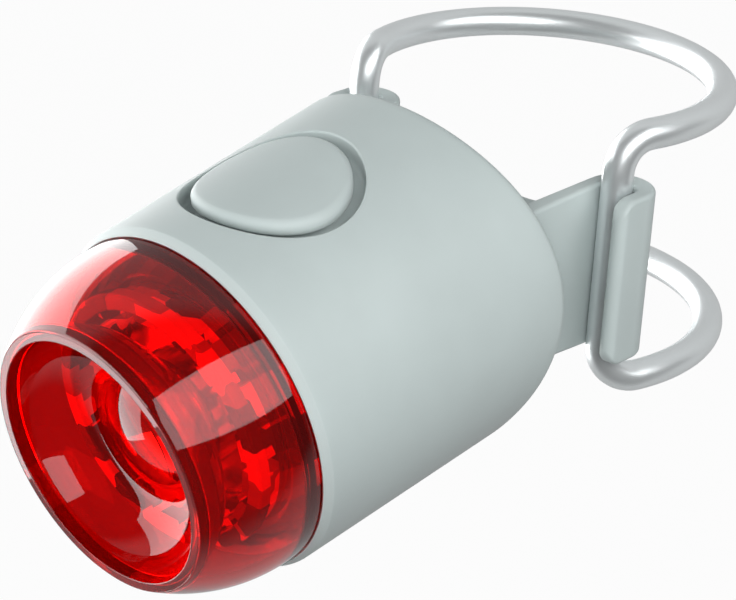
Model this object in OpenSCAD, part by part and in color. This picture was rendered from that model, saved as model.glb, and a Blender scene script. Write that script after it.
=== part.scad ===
// Bicycle rear light with a silicone sleeve, a red lens and a steel wire loop for the seat post.
// Millimetres. The origin lies on the seat post's axis, level with the middle of the light.
// +Z runs up, and the lens looks along -Y. The post leans back from +Z, as seat posts do.

/* [Seat post] */
// Diameter of the seat post
post_d = 27.2; // [25:0.1:30]
// Gap left between the wire loop and the back of the post
post_gap = 0.2; // [0.1:0.05:0.5]
// Lean of the post, and with it of the pad, the hooks and the loop, back from upright
post_lean = 10.5; // [4:0.5:12]

/* [Housing] */
// Outer radius of the hard housing inside the sleeve
housing_r = 13.5; // [13:0.1:15]
// Wall thickness of the housing
housing_wall = 2.4; // [2:0.1:2.6]
// Thickness of the housing's closed back
housing_back_t = 1.4; // [1:0.1:2]
// Depth of the front step that takes the lens and the LED board
front_step = 3.6; // [3.2:0.1:4.5]

/* [Sleeve] */
// Thickness of the sleeve at its front edge
sleeve_wall = 1.7; // [1.4:0.1:2.2]
// How much wider the sleeve is at the back than at the front
sleeve_flare = 0.8; // [0.4:0.1:1.2]
// Length of the sleeve along the light's axis, to the middle of its hollowed back
sleeve_len = 23.3; // [22.8:0.1:27]
// Rounding of the front lip
lip_r = 0.8; // [0.4:0.1:1]
// Radius of the upright hollow in the back
saddle_r = 26.6; // [24:0.1:32]
// Least thickness of the sleeve behind the housing
back_wall = 1.4; // [1.2:0.1:2]

/* [Saddle and hooks] */
// Thickness of the pad between the sleeve's back and the post
pad_t = 7.4; // [6.8:0.1:9]
// Half of the angle over which the pad holds the post
pad_half_angle = 57; // [55:1:60]
// Height of the pad
pad_h = 14; // [10:0.2:15]
// Rounding of the pad's corners
pad_corner_r = 3; // [1:0.5:4]
// Height of the two hooks
hook_h = 14.4; // [12:0.2:15]
// How far the pad and the hooks sit below the light's axis, along the post
ear_drop = 1.8; // [1:0.1:2.2]
// Wall thickness of a hook
hook_wall = 1.5; // [1:0.1:1.6]
// Extra thickness at the back of a hook, where the wire pulls
hook_back = 0.5; // [0.2:0.1:0.8]
// How far a hook's lip reaches forward of the wire
hook_lip = 2.8; // [2.4:0.1:3.6]
// Rounding of the two corners at the end of a hook's lip
hook_corner_r = 1.8; // [0.5:0.1:2.4]
// Clearance round the wire in its hook
hook_gap = 0.15; // [0.1:0.05:0.3]
// Thickness of an ear where it leaves the sleeve
ear_t = 1.9; // [1.4:0.1:2.6]
// How far the root of an ear stands in from the hook's throat
ear_lean = 0.9; // [0.4:0.1:1.4]

/* [Wire loop] */
// Diameter of the wire
wire_d = 2.7; // [2.2:0.1:3]
// Radius of the arches, at the middle of the wire
loop_r = 16.1; // [16:0.1:18]
// Angle by which each arch wraps forward past the post's sides
loop_wrap = 16; // [12:1:20]
// Slope of the arches, down towards the back
loop_slope = 0; // [0:0.2:4]
// Height of each arch's ends above or below the middle
arch_z = 11.2; // [10.8:0.1:14]
// How far the loop's middle sits below the light's axis, along the post
loop_drop = 0.5; // [0:0.1:1]
// Reach of the bends between the arches and the straight runs
bend_reach = 3.3; // [3:0.1:4]

/* [Lens] */
// How far the lens stands out in front of the sleeve
lens_len = 9.6; // [9:0.1:11]
// How much smaller the lens is than the sleeve at their seam
lens_inset = 0.6; // [0.4:0.1:1]
// Outer radius of the lens's front rim
rim_r = 11.4; // [11:0.1:12]
// Width of the rim
rim_w = 0.8; // [0.5:0.1:1.2]
// How far the lens's side bulges from a straight cone
lens_bulge = 0.9; // [0.4:0.1:1.2]
// Wall thickness of the lens
lens_wall = 1.5; // [1.2:0.1:1.7]
// Length of the lens's skirt inside the housing
skirt_len = 2.6; // [2.2:0.1:2.8]
// Depth of the bowl in the lens's front
bowl_depth = 5.2; // [4.6:0.1:5.6]
// Radius of the bull's-eye in the middle of the bowl
eye_r = 4.8; // [4.4:0.1:5.2]
// Height of the bull's-eye
eye_h = 1.4; // [0.6:0.1:2]

/* [Optics] */
// Number of prisms on the light guide
prism_count = 18; // [12:1:22]
// Length of a prism along the light's axis
prism_len = 3.2; // [2:0.1:3.4]
// Thickness of the LED board
led_board_t = 1; // [0.8:0.1:1.2]
// Thickness of the reflector's plate
reflector_t = 2; // [1.6:0.1:2.2]
// Number of small LEDs round the board
side_led_count = 6; // [3:1:8]

/* [Button] */
// Distance of the button's middle behind the seam
button_y = 11.5; // [11:0.1:12.2]
// Radius of the button
button_r = 6.6; // [5.5:0.1:6.7]
// Width of the groove round the button
moat_w = 1.1; // [0.5:0.1:1.2]
// Thickness of the skin at the bottom of the groove
moat_floor_t = 0.7; // [0.5:0.1:0.8]
// Free height under the button
button_lift = 1; // [0.9:0.1:1.2]
// Radius of the button's stem
stem_r = 2.4; // [2:0.1:2.6]

/* [Charging port] */
// Distance of the port's middle behind the seam
port_y = 11; // [10.6:0.1:12]
// Thickness of the port cover's lid
lid_t = 1; // [0.8:0.1:1.2]
// Clearance round the port cover
port_gap = 0.3; // [0.25:0.05:0.4]

/* [Electronics] */
// Thickness of the main and the charging board
board_t = 1; // [0.8:0.1:1.2]
// Thickness of the foam that holds the cell to the main board
foam_t = 2.4; // [1.5:0.1:2.6]

/* [Hidden] */
$fn = 96;

// Clearances
fit_gap = 0.1;
air_gap = 0.3;
over = 1;

// Sleeve and its place against the post
post_r = post_d / 2;
seam_y = -(post_r + pad_t + sleeve_len);
sleeve_front_r = housing_r + fit_gap + sleeve_wall;
sleeve_rear_r = sleeve_front_r + sleeve_flare;
cavity_r = housing_r + fit_gap;
cavity_end = sleeve_len - cavity_r * tan(post_lean) - back_wall;
back_face = seam_y + sleeve_len;
saddle_rise = saddle_r - sqrt(saddle_r * saddle_r - sleeve_rear_r * sleeve_rear_r);
form_len = sleeve_len + saddle_rise + sleeve_rear_r * tan(post_lean);

// Wire loop: arch centre, arch ends, direction of the ends and the straight runs
wire_r = wire_d / 2;
arch_y = post_r + post_gap + wire_r - loop_r;
arch_end = [loop_r * cos(loop_wrap), arch_y - loop_r * sin(loop_wrap)];
end_flat = [-sin(loop_wrap), -cos(loop_wrap) * cos(loop_slope)];
end_dir = end_flat / norm(end_flat);
end_rise = asin(cos(loop_wrap) * sin(loop_slope));
end_turn = atan2(end_dir[1], end_dir[0]);
upper_bend_r = bend_reach / (1 + sin(end_rise));
lower_bend_r = bend_reach / (1 - sin(end_rise));
run_x = arch_end[0] + bend_reach * end_dir[0];
run_y = arch_end[1] + bend_reach * end_dir[1];
run_top = arch_z - upper_bend_r * cos(end_rise);
run_bottom = -arch_z + lower_bend_r * cos(end_rise);
bend_bite = 0.1;
bend_draw = 0.01;

// Hooks, ears and saddle pad
throat_r = wire_r + hook_gap;
hook_r = throat_r + hook_wall;
lip_end_r = hook_wall / 2;
pad_back = -post_r * cos(pad_half_angle);
pad_half_w = post_r * sin(pad_half_angle) + hook_wall;

// Housing
bore_r = housing_r - housing_wall;
step_r = bore_r + 1;
housing_end = cavity_end - fit_gap;
bay_end = housing_end - housing_back_t;

// Lens
lens_base_r = sleeve_front_r - lens_inset;
skirt_r = step_r - fit_gap;
skirt_wall = 1.1;
seal_d = 0.64;
seal_groove = 0.6;
seal_y = skirt_len / 2;
bowl_r = rim_r - rim_w;
bowl_floor = bowl_depth - lens_len;
bowl_foot = eye_r + 0.6;
chamber_top = lens_wall * 1.6;
chamber_r = lens_base_r - lens_wall;

// Optics stack, measured behind the seam
led_board_y = front_step - led_board_t;
reflector_y = led_board_y - reflector_t;
plate_r = skirt_r - skirt_wall - fit_gap;
guide_t = 0.8;
guide_w = plate_r * 0.3;
guide_r_in = plate_r - guide_w;
prism_r_in = guide_r_in + guide_w / 3;
prism_r_out = plate_r;
prism_w = 1.5;
led_size = 3;
led_h = 0.9;
side_led_size = 1.6;
side_led_h = 0.8;
side_led_inset = 1.7;
side_led_ring = plate_r - side_led_inset;
cup_r_in = led_size * 0.75;
cup_r_out = eye_r - 0.2;
cup_wall = 0.6;
cup_h = 2.2;
cup_front = reflector_y - cup_h;
cup_flange_t = 0.6;

// Button
moat_r = button_r + moat_w;
flat_z = bore_r + 0.9;
moat_floor = flat_z + moat_floor_t;
cap_bottom = moat_floor + button_lift;
flat_half = moat_r + 1;
seal_hole_r = stem_r + air_gap + 1;
switch_size = 6;
switch_h = 3.5;
switch_air = 0.5;
switch_top = sqrt(bore_r * bore_r - switch_size * switch_size / 4) - switch_air;
plunger_r = 1.7;
plunger_top = switch_top + 0.9;
plunger_len = 1.9;
plunger_well = 2;

// Boards and cell
board_top = switch_top - switch_h;
main_board_z = board_top - board_t;
board_front = front_step + 1.6;
board_half_w = sqrt(bore_r * bore_r - board_top * board_top) - air_gap;
board_len = bay_end - air_gap - board_front;
rail_t = 1;
rail_grip = 1.4;
rail_in = board_half_w - rail_grip;
link_half_w = 3;
link_h = 1.6;
link_lap = 2;
chip_size = 2.2;
chip_h = 1;
chip_y = button_y + switch_size / 2 + 0.8;
foam_half_w = rail_in - 4 * air_gap;
foam_inset = 1;
cell_margin = 3.6;
cell_half_w = bore_r - cell_margin;
cell_y = board_front + 1;
cell_end_gap = 1.2;
cell_len = bay_end - cell_end_gap - cell_y;
charge_board_z = main_board_z;
cell_air = 2.4;
cell_t = main_board_z - foam_t + charge_board_z - board_t - cell_air;
charge_margin = 1.6;
charge_half_w = sqrt(bore_r * bore_r - charge_board_z * charge_board_z) - charge_margin;
charge_rail_in = charge_half_w - rail_grip;
usb_half_len = 4.47;
usb_half_w = 1.6;
usb_wall = 0.3;
usb_inset = 1.2;
usb_mouth = housing_r - usb_inset;
usb_base = 1.2;
tongue_side = 1.1;
tongue_inset = 0.8;
charge_front = port_y - usb_half_len - 1;
charge_len = bay_end - air_gap - charge_front;

// Port cover
rib_half_len = 4.6;
rib_half_w = 1.7;
rib_tip = cavity_r + air_gap;
lid_half_w = 4;
lid_ahead = 7.2;
lid_behind = 5.8;
lid_front = port_y - lid_ahead;
lid_back = port_y + lid_behind;
neck_half_w = 2;
knuckle_r = lid_t * 0.35;
strap_len = 1.2;
knuckle_y = lid_back + strap_len;
lid_gap = port_gap / 2;

// Radius of the sleeve at a distance behind the seam
function sleeve_r(y) = sleeve_front_r
  + sleeve_flare * (y - lip_r) / (sleeve_len - lip_r);

// Points of an arc about c, from angle a to angle b
function arc(c, r, a, b, n = 10) = oval(c, r, r, a, b, n);

// Points of an ellipse's arc about c, with half widths rx and ry
function oval(c, rx, ry, a, b, n = 14) =
  [for (i = [0 : n]) let (t = a + (b - a) * i / n) c + [rx * cos(t), ry * sin(t)]];

// Points of a bulged line from p to q: a parabola whose middle stands off by h
function bulge(p, q, h, n = 12) =
  let (d = q - p, side = [d[1], -d[0]] / norm(d))
  [for (i = [0 : n]) let (t = i / n) p + d * t + side * 4 * h * t * (1 - t)];

// Turns a profile drawn as radius and distance behind the seam round the light's axis
module turned() {
  translate([0, seam_y, 0]) rotate([-90, 0, 0]) rotate_extrude() children();
}

// Round bar along the light's axis
module bar(r, from, to) {
  translate([0, seam_y + from, 0]) rotate([-90, 0, 0]) cylinder(r = r, h = to - from);
}

// Block given by its half width, its stretch behind the seam and its heights
module block(half_w, y0, y1, z0, z1) {
  translate([-half_w, seam_y + y0, z0]) cube([2 * half_w, y1 - y0, z1 - z0]);
}

// Copies a child to both sides
module both_sides() {
  children();
  mirror([1, 0, 0]) children();
}

// Solid form of the sleeve's outside, or a smaller one set in from it
module sleeve_form(inset = 0) {
  turned() polygon(concat(
    [[0, 0]],
    arc([sleeve_front_r - lip_r - inset, lip_r], lip_r, -90, 0),
    [[sleeve_r(form_len) - inset, form_len], [0, form_len]]
  ));
}

// Leans what belongs to the post, and lowers it along the post
module leaned(drop = 0) {
  rotate([-post_lean, 0, 0]) translate([0, 0, -drop]) children();
}

// Hollow in the sleeve's back
module saddle_hollow() {
  translate([0, back_face + saddle_r / cos(post_lean), 0]) leaned()
    cylinder(r = saddle_r, h = 4 * sleeve_rear_r, center = true);
}

// Plan of one ear with its hook, on the right
module hook_plan() {
  difference() {
    union() {
      translate([run_x, run_y + hook_back]) circle(hook_r);
      translate([run_x + throat_r, run_y - hook_lip + lip_end_r])
        square([hook_wall, hook_lip - lip_end_r + hook_back]);
      translate([run_x + throat_r + lip_end_r, run_y - hook_lip + lip_end_r]) circle(lip_end_r);
      polygon([
        [run_x - throat_r - ear_lean, back_face - over],
        [run_x - throat_r, run_y + hook_back],
        [run_x - hook_r, run_y + hook_back],
        [run_x - throat_r - ear_lean - ear_t, back_face - over]
      ]);
    }
    translate([run_x, run_y]) circle(throat_r);
    polygon([
      [run_x - throat_r, run_y],
      [run_x - throat_r - ear_lean, back_face - over],
      [run_x + throat_r, back_face - over],
      [run_x + throat_r, run_y]
    ]);
  }
}

// What comes off the corners of a hook's lip, on the right
module lip_corners() {
  for (up = [0, 1]) mirror([0, 0, up]) translate([run_x + throat_r - over / 4, run_y - hook_lip, hook_h / 2])
    rotate([0, 90, 0]) linear_extrude(hook_wall + over) difference() {
      translate([-over, -over]) square(hook_corner_r + over);
      translate([hook_corner_r, hook_corner_r]) circle(hook_corner_r);
    }
}

// Pad between the ears, hollowed by the post
module saddle_pad() {
  intersection() {
    translate([0, 0, -pad_h / 2]) linear_extrude(pad_h) difference() {
      polygon([
        [-run_x + throat_r + ear_lean + ear_t / 2, back_face - over],
        [run_x - throat_r - ear_lean - ear_t / 2, back_face - over],
        [pad_half_w, run_y],
        [pad_half_w, pad_back],
        [-pad_half_w, pad_back],
        [-pad_half_w, run_y]
      ]);
      circle(post_r);
    }
    translate([0, pad_back, 0]) rotate([90, 0, 0]) linear_extrude(pad_back - back_face + over) rounded_rect(
      pad_half_w, pad_h / 2, pad_corner_r);
  }
}

// Rectangle with round corners, from two bars and four circles
module rounded_rect(half_w, half_h, r) {
  square([2 * half_w - 2 * r, 2 * half_h], center = true);
  square([2 * half_w, 2 * half_h - 2 * r], center = true);
  for (x = [-1, 1], y = [-1, 1]) translate([x * (half_w - r), y * (half_h - r)]) circle(r);
}

// Upright prism over the port cover's outline, grown by a clearance, with its tail drawn out past the hinge line
module cover_prism(grow = 0, tail = 0) {
  block(lid_half_w + grow, lid_front - grow, lid_back + grow, -sleeve_rear_r - over, -bore_r);
  block(neck_half_w + grow, lid_back - over, knuckle_y + tail + grow, -sleeve_rear_r - over, -bore_r);
}

// Round end of the port cover's strap, on its hinge line
module knuckle() {
  translate([-neck_half_w, seam_y + knuckle_y, -sleeve_r(knuckle_y) + lid_t / 2]) rotate([0, 90, 0])
    cylinder(r = knuckle_r, h = 2 * neck_half_w);
}

module silicone_sleeve() {
  color("#b9c4c3") difference() {
    union() {
      difference() {
        sleeve_form();
        saddle_hollow();
      }
      leaned(ear_drop) {
        both_sides() difference() {
          translate([0, 0, -hook_h / 2]) linear_extrude(hook_h) hook_plan();
          lip_corners();
        }
        saddle_pad();
      }
    }
    // Room for the housing, with a flat skin left under the button
    difference() {
      bar(cavity_r, -over, cavity_end);
      block(flat_half + over, button_y - flat_half, button_y + flat_half, flat_z, cavity_r + over);
    }
    // Well of the button, and the hole in its floor
    translate([0, seam_y + button_y, moat_floor]) cylinder(r = moat_r, h = sleeve_rear_r);
    translate([0, seam_y + button_y, 0]) cylinder(r = seal_hole_r + fit_gap, h = sleeve_rear_r);
    // Recess of the port cover and the way through to the socket
    difference() {
      cover_prism(port_gap, knuckle_r);
      sleeve_form(lid_t + lid_gap);
    }
    block(rib_half_w + port_gap, port_y - rib_half_len - port_gap, port_y + rib_half_len + port_gap,
      -sleeve_rear_r, -bore_r);
  }
}

module inner_housing() {
  color("#2b2d2f") difference() {
    union() {
      difference() {
        bar(housing_r, 0, housing_end);
        bar(bore_r, -over, bay_end);
        bar(step_r, -over, front_step);
      }
      // Rails that carry the two boards
      intersection() {
        bar(bore_r + over, front_step, bay_end + over);
        both_sides() {
          translate([rail_in, seam_y + board_front, main_board_z - rail_t]) cube([bore_r, board_len, rail_t]);
          translate([charge_rail_in, seam_y + charge_front, -charge_board_z - rail_t])
            cube([bore_r, charge_len, rail_t]);
        }
      }
    }
    block(flat_half + over, button_y - flat_half - fit_gap, button_y + flat_half + fit_gap,
      flat_z - fit_gap, housing_r + over);
    translate([0, seam_y + button_y, 0]) cylinder(r = stem_r + air_gap, h = housing_r);
    block(usb_half_w + fit_gap, port_y - usb_half_len - fit_gap, port_y + usb_half_len + fit_gap, -housing_r, -bore_r + over);
  }
}

module outer_lens() {
  side_out = bulge([lens_base_r, 0], [rim_r, -lens_len], -lens_bulge);
  side_in = bulge([rim_r, -lens_len + chamber_top], [chamber_r, -lens_wall], lens_bulge / 2);
  color("#c00000", 0.6) turned() polygon(concat(
    [
      [skirt_r, skirt_len],
      [skirt_r, seal_y + seal_d],
      [skirt_r - seal_groove, seal_y + seal_d],
      [skirt_r - seal_groove, seal_y - seal_d],
      [skirt_r, seal_y - seal_d],
      [skirt_r, 0]
    ],
    side_out,
    oval([bowl_foot, -lens_len], bowl_r - bowl_foot, bowl_depth, 0, 90),
    bulge([eye_r, bowl_floor], [0, bowl_floor - eye_h], 0.35),
    [[0, bowl_floor + lens_wall]],
    oval([bowl_foot, -lens_len + lens_wall], rim_r - bowl_foot - lens_wall / 3, bowl_depth, 90, 12),
    side_in,
    [[skirt_r - skirt_wall, 0], [skirt_r - skirt_wall, skirt_len]]
  ));
}

module lens_seal() {
  color("#1c1c1c") turned() translate([step_r - fit_gap / 4 - seal_d / 2, seal_y]) circle(d = seal_d, $fn = 32);
}

module light_guide() {
  color("#e01010", 0.8) {
    difference() {
      bar(plate_r, reflector_y - guide_t, reflector_y);
      bar(guide_r_in, -lens_len, front_step);
    }
    for (i = [0 : prism_count - 1]) {
      translate([0, seam_y + reflector_y - guide_t, 0]) rotate([0, i * 360 / prism_count, 0])
        translate([-prism_w / 2, -prism_len, prism_r_in]) cube([prism_w, prism_len, prism_r_out - prism_r_in]);
    }
  }
}

module collimator() {
  color("#ff5040", 0.5) turned() polygon([
    [0, reflector_y + led_h / 2],
    [cup_r_in - 0.7, reflector_y + led_h / 2],
    [cup_r_out - 0.7, cup_front],
    [cup_r_out + cup_wall, cup_front],
    [cup_r_out + cup_wall, cup_front - cup_flange_t],
    [0, cup_front - cup_flange_t]
  ]);
}

module reflector() {
  color("#d8d8d8") difference() {
    turned() polygon([
      [cup_r_in, led_board_y],
      [plate_r, led_board_y],
      [plate_r, reflector_y],
      [cup_r_out + cup_wall, reflector_y],
      [cup_r_out + cup_wall, cup_front],
      [cup_r_out, cup_front]
    ]);
    for (i = [0 : side_led_count - 1]) {
      translate([0, seam_y, 0]) rotate([0, i * 360 / side_led_count, 0])
        translate([0, reflector_y - over, side_led_ring]) rotate([-90, 0, 0])
          cylinder(r = side_led_size * 0.8, h = front_step + 2 * over);
    }
  }
}

module led_board() {
  color("#f2f2ee") bar(step_r - fit_gap, led_board_y, front_step);
}

module main_led() {
  color("#f4e9a0") block(led_size / 2, led_board_y - led_h, led_board_y, -led_size / 2, led_size / 2);
}

module side_leds() {
  color("#f4e9a0") for (i = [0 : side_led_count - 1]) {
    translate([0, seam_y, 0]) rotate([0, i * 360 / side_led_count, 0])
      translate([-side_led_size / 2, led_board_y - side_led_h, side_led_ring - side_led_size / 2])
        cube([side_led_size, side_led_h, side_led_size]);
  }
}

module board_link() {
  color("#202020") block(link_half_w, front_step, board_front + link_lap, board_top, board_top + link_h);
}

module main_board() {
  color("#1e5a3a") block(board_half_w, board_front, board_front + board_len, main_board_z, board_top);
}

module control_chip() {
  color("#151515") block(chip_size / 2, chip_y, chip_y + chip_size, board_top, board_top + chip_h);
}

module switch_base() {
  color("#303030") difference() {
    block(switch_size / 2, button_y - switch_size / 2, button_y + switch_size / 2, board_top, switch_top);
    translate([0, seam_y + button_y, plunger_top - plunger_len - 1]) cylinder(r = plunger_r + air_gap, h = plunger_len + over);
  }
}

module switch_plunger() {
  color("#e8e2d0") translate([0, seam_y + button_y, plunger_top - plunger_len]) cylinder(r = plunger_r, h = plunger_len);
}

module button_cap() {
  color("#b4bfbe") {
    intersection() {
      sleeve_form();
      translate([0, seam_y + button_y, cap_bottom]) cylinder(r = button_r, h = sleeve_rear_r);
    }
    translate([0, seam_y + button_y, plunger_top]) cylinder(r = stem_r, h = cap_bottom - plunger_top + button_lift / 2);
  }
}

module button_seal() {
  color("#3a3d3d") translate([0, seam_y + button_y, flat_z - fit_gap]) difference() {
    cylinder(r = seal_hole_r, h = moat_floor_t);
    translate([0, 0, -over]) cylinder(r = stem_r + air_gap / 2, h = moat_floor_t + 2 * over);
  }
}

module foam_pad() {
  color("#4a4a4a") block(foam_half_w, cell_y + foam_inset, cell_y + cell_len - foam_inset,
    main_board_z - foam_t, main_board_z);
}

module battery_cell() {
  color("#a9b4c4") block(cell_half_w, cell_y, cell_y + cell_len,
    main_board_z - foam_t - cell_t, main_board_z - foam_t);
}

module charge_board() {
  color("#1e5a3a") block(charge_half_w, charge_front, charge_front + charge_len, -charge_board_z, -charge_board_z + board_t);
}

module usb_shell() {
  color("#c8ccd0") difference() {
    block(usb_half_w, port_y - usb_half_len, port_y + usb_half_len, -usb_mouth, -charge_board_z);
    block(usb_half_w - usb_wall, port_y - usb_half_len + usb_wall, port_y + usb_half_len - usb_wall,
      -usb_mouth - over, -charge_board_z + over);
  }
}

module usb_tongue() {
  color("#202020") {
    block(usb_half_w - usb_wall, port_y - usb_half_len + usb_wall, port_y + usb_half_len - usb_wall,
      -charge_board_z - usb_base, -charge_board_z);
    block(usb_wall, port_y - usb_half_len + tongue_side, port_y + usb_half_len - tongue_side,
      -usb_mouth + tongue_inset, -charge_board_z - usb_base + tongue_inset);
  }
}

module port_cover() {
  color("#aeb9b8") {
    intersection() {
      cover_prism();
      difference() {
        sleeve_form();
        sleeve_form(lid_t);
      }
    }
    knuckle();
    difference() {
      block(rib_half_w, port_y - rib_half_len, port_y + rib_half_len, -sleeve_r(port_y) + lid_t / 2, -rib_tip);
      block(rib_half_w - 0.7, port_y - rib_half_len + 0.7, port_y + rib_half_len - 0.7, -sleeve_r(port_y) + 2 * lid_t, -bore_r);
    }
  }
}

// One arch of the wire, sloped about the line through its ends
module wire_arch(z) {
  translate([0, arch_end[1], z]) rotate([-loop_slope, 0, 0]) translate([0, arch_y - arch_end[1], 0])
    rotate([0, 0, -loop_wrap]) rotate_extrude(angle = 180 + 2 * loop_wrap) translate([loop_r, 0]) circle(wire_r);
}

// Bend from the end of an arch into the straight run: dir is 1 for the upper arch, -1 for the lower.
// Its ends reach a little way into its neighbours, which are thicker by the draw.
module wire_bend(z, r, dir) {
  reach = bend_bite / r * 180 / PI;
  translate([run_x, run_y, z - dir * r * cos(end_rise)]) rotate([0, 0, end_turn]) translate([-r, 0, 0])
    rotate([dir * 90, 0, 0]) rotate([0, 0, -reach]) rotate_extrude(angle = 90 + dir * end_rise + 2 * reach)
      translate([r, 0]) circle(wire_r - bend_draw);
}

module wire_loop() {
  color("#d5d9dc") leaned(loop_drop) {
    wire_arch(arch_z);
    wire_arch(-arch_z);
    both_sides() {
      wire_bend(arch_z, upper_bend_r, 1);
      wire_bend(-arch_z, lower_bend_r, -1);
      translate([run_x, run_y, run_bottom]) cylinder(r = wire_r, h = run_top - run_bottom);
    }
  }
}

silicone_sleeve();
inner_housing();
outer_lens();
lens_seal();
light_guide();
collimator();
reflector();
led_board();
main_led();
side_leds();
board_link();
main_board();
control_chip();
switch_base();
switch_plunger();
button_cap();
button_seal();
foam_pad();
battery_cell();
charge_board();
usb_shell();
usb_tongue();
port_cover();
wire_loop();
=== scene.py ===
import math

import bmesh
import bpy
import numpy as np
from bpy.props import FloatProperty, FloatVectorProperty, IntProperty, PointerProperty
from mathutils import Matrix, Vector


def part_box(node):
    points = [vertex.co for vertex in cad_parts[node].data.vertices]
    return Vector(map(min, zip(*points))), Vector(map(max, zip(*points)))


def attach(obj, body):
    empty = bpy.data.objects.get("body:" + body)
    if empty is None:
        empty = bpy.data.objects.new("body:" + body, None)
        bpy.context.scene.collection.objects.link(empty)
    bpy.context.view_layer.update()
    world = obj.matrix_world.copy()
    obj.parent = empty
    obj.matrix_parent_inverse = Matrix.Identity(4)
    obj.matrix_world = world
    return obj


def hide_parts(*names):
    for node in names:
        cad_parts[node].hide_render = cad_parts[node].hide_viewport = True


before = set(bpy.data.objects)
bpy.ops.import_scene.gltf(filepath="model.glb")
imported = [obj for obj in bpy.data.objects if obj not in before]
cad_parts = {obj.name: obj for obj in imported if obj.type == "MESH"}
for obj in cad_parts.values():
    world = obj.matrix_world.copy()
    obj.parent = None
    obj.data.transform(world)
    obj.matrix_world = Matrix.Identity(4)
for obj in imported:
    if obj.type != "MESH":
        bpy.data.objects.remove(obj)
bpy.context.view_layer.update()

bl_info = {
    "name": "Seat Post Rear Light",
    "version": (1, 0, 0),
    "blender": (4, 5, 0),
    "location": "View3D > Sidebar > Rear Light",
    "description": "Builds the looks of a silicone rear light round its packed CAD frame",
    "category": "Object",
}

MM = 0.001
# Points closer than this are welded into one.
WELD = 0.002 * MM
# Ears: clearance of the wire in a hook's throat, how much longer than round the throat is, and how far inward of the
# throat the strap starts.
WIRE_GAP, THROAT_BACK, STRAP_IN = 0.15 * MM, 0.5 * MM, 1.85 * MM
# The lens's back lies in the seam, and the light's axis runs along Y from there.
SEAM_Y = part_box("silicone_sleeve")[0][1]


def srgb(code):
    """Linear colour with full alpha from an sRGB hex code."""
    c = np.array([int(code[i : i + 2], 16) for i in (1, 3, 5)]) / 255
    lin = np.where(c <= 0.04045, c / 12.92, ((c + 0.055) / 1.055) ** 2.4)
    return (*lin.tolist(), 1.0)


class SleeveSizes(bpy.types.PropertyGroup):
    """Sizes of the silicone sleeve and its button."""

    front_r: FloatProperty(
        name="Front radius", description="Radius just behind the front lip",
        default=15.3 * MM, unit="LENGTH")
    flare: FloatProperty(
        name="Flare", description="How much the radius grows towards the back",
        default=0.8 * MM, unit="LENGTH")
    length: FloatProperty(
        name="Length", description="Length of the barrel to the middle of its hollowed back",
        default=23.3 * MM, unit="LENGTH")
    lip_len: FloatProperty(
        name="Lip length", description="Length of the bevelled front lip",
        default=0.8 * MM, unit="LENGTH")
    edge_r: FloatProperty(
        name="Back rounding", description="Rounding of the back edge",
        default=0.9 * MM, unit="LENGTH")
    hollow_r: FloatProperty(
        name="Hollow radius", description="Radius of the hollow in the back",
        default=26.6 * MM, unit="LENGTH")
    lean: FloatProperty(
        name="Lean", description="Lean of the post, the pad, the hooks and the loop",
        default=math.radians(10.5), subtype="ANGLE")
    bore_r: FloatProperty(
        name="Bore radius", description="Radius of the room for the housing",
        default=13.6 * MM, unit="LENGTH")
    button_y: FloatProperty(
        name="Button place", description="Distance of the button behind the seam",
        default=11.5 * MM, unit="LENGTH")
    button_r: FloatProperty(
        name="Button radius", description="Radius of the button cap",
        default=6.5 * MM, unit="LENGTH")
    moat_w: FloatProperty(
        name="Groove width", description="Width of the groove round the button",
        default=1.0 * MM, unit="LENGTH")
    post_r: FloatProperty(
        name="Post radius", description="Radius of the seat post",
        default=13.6 * MM, unit="LENGTH")
    pad_h: FloatProperty(
        name="Pad height", description="Height of the saddle pad",
        default=14.0 * MM, unit="LENGTH")
    hook_h: FloatProperty(
        name="Hook height", description="Height of the hooks",
        default=15.2 * MM, unit="LENGTH")
    drop: FloatProperty(
        name="Drop", description="How far the hooks sit below the light's axis, along the post",
        default=1.6 * MM, unit="LENGTH")
    hook_wall: FloatProperty(
        name="Hook wall", description="Wall thickness of a hook",
        default=1.5 * MM, unit="LENGTH")
    hook_lip: FloatProperty(
        name="Hook lip", description="Reach of a hook's lip forward of the wire",
        default=2.8 * MM, unit="LENGTH")
    port_y: FloatProperty(
        name="Port place", description="Distance of the charging port behind the seam",
        default=11.0 * MM, unit="LENGTH")


class LoopSizes(bpy.types.PropertyGroup):
    """Sizes of the wire loop, upright before it leans with the post."""

    wire_r: FloatProperty(
        name="Wire radius", description="Half of the wire's thickness",
        default=1.35 * MM, unit="LENGTH")
    arch_r: FloatProperty(
        name="Upper arch radius", description="Radius of the upper arch at the middle of the wire",
        default=16.1 * MM, unit="LENGTH")
    arch_y: FloatProperty(
        name="Upper arch centre", description="Place of the upper arch's centre behind the post's axis",
        default=-1.15 * MM, unit="LENGTH")
    low_r: FloatProperty(
        name="Lower arch radius", description="Radius of the lower arch at the middle of the wire",
        default=16.9 * MM, unit="LENGTH")
    low_y: FloatProperty(
        name="Lower arch centre", description="Place of the lower arch's centre behind the post's axis",
        default=-0.6 * MM, unit="LENGTH")
    arch_z: FloatProperty(
        name="Arch height", description="Height of the arches above the loop's middle",
        default=11.2 * MM, unit="LENGTH")
    drop: FloatProperty(
        name="Drop", description="How far the loop's middle sits below the light's axis, along the post",
        default=0.9 * MM, unit="LENGTH")
    wrap: FloatProperty(
        name="Wrap", description="Angle by which an arch wraps past the post's sides",
        default=math.radians(16), subtype="ANGLE")
    run: FloatVectorProperty(
        name="Straight run", description="Place of the right straight run, across and behind the post's axis",
        size=2, default=(14.567 * MM, -8.56 * MM), unit="LENGTH")
    reach: FloatProperty(
        name="Bend radius", description="Radius of the bends into the straight runs",
        default=3.3 * MM, unit="LENGTH")


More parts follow.
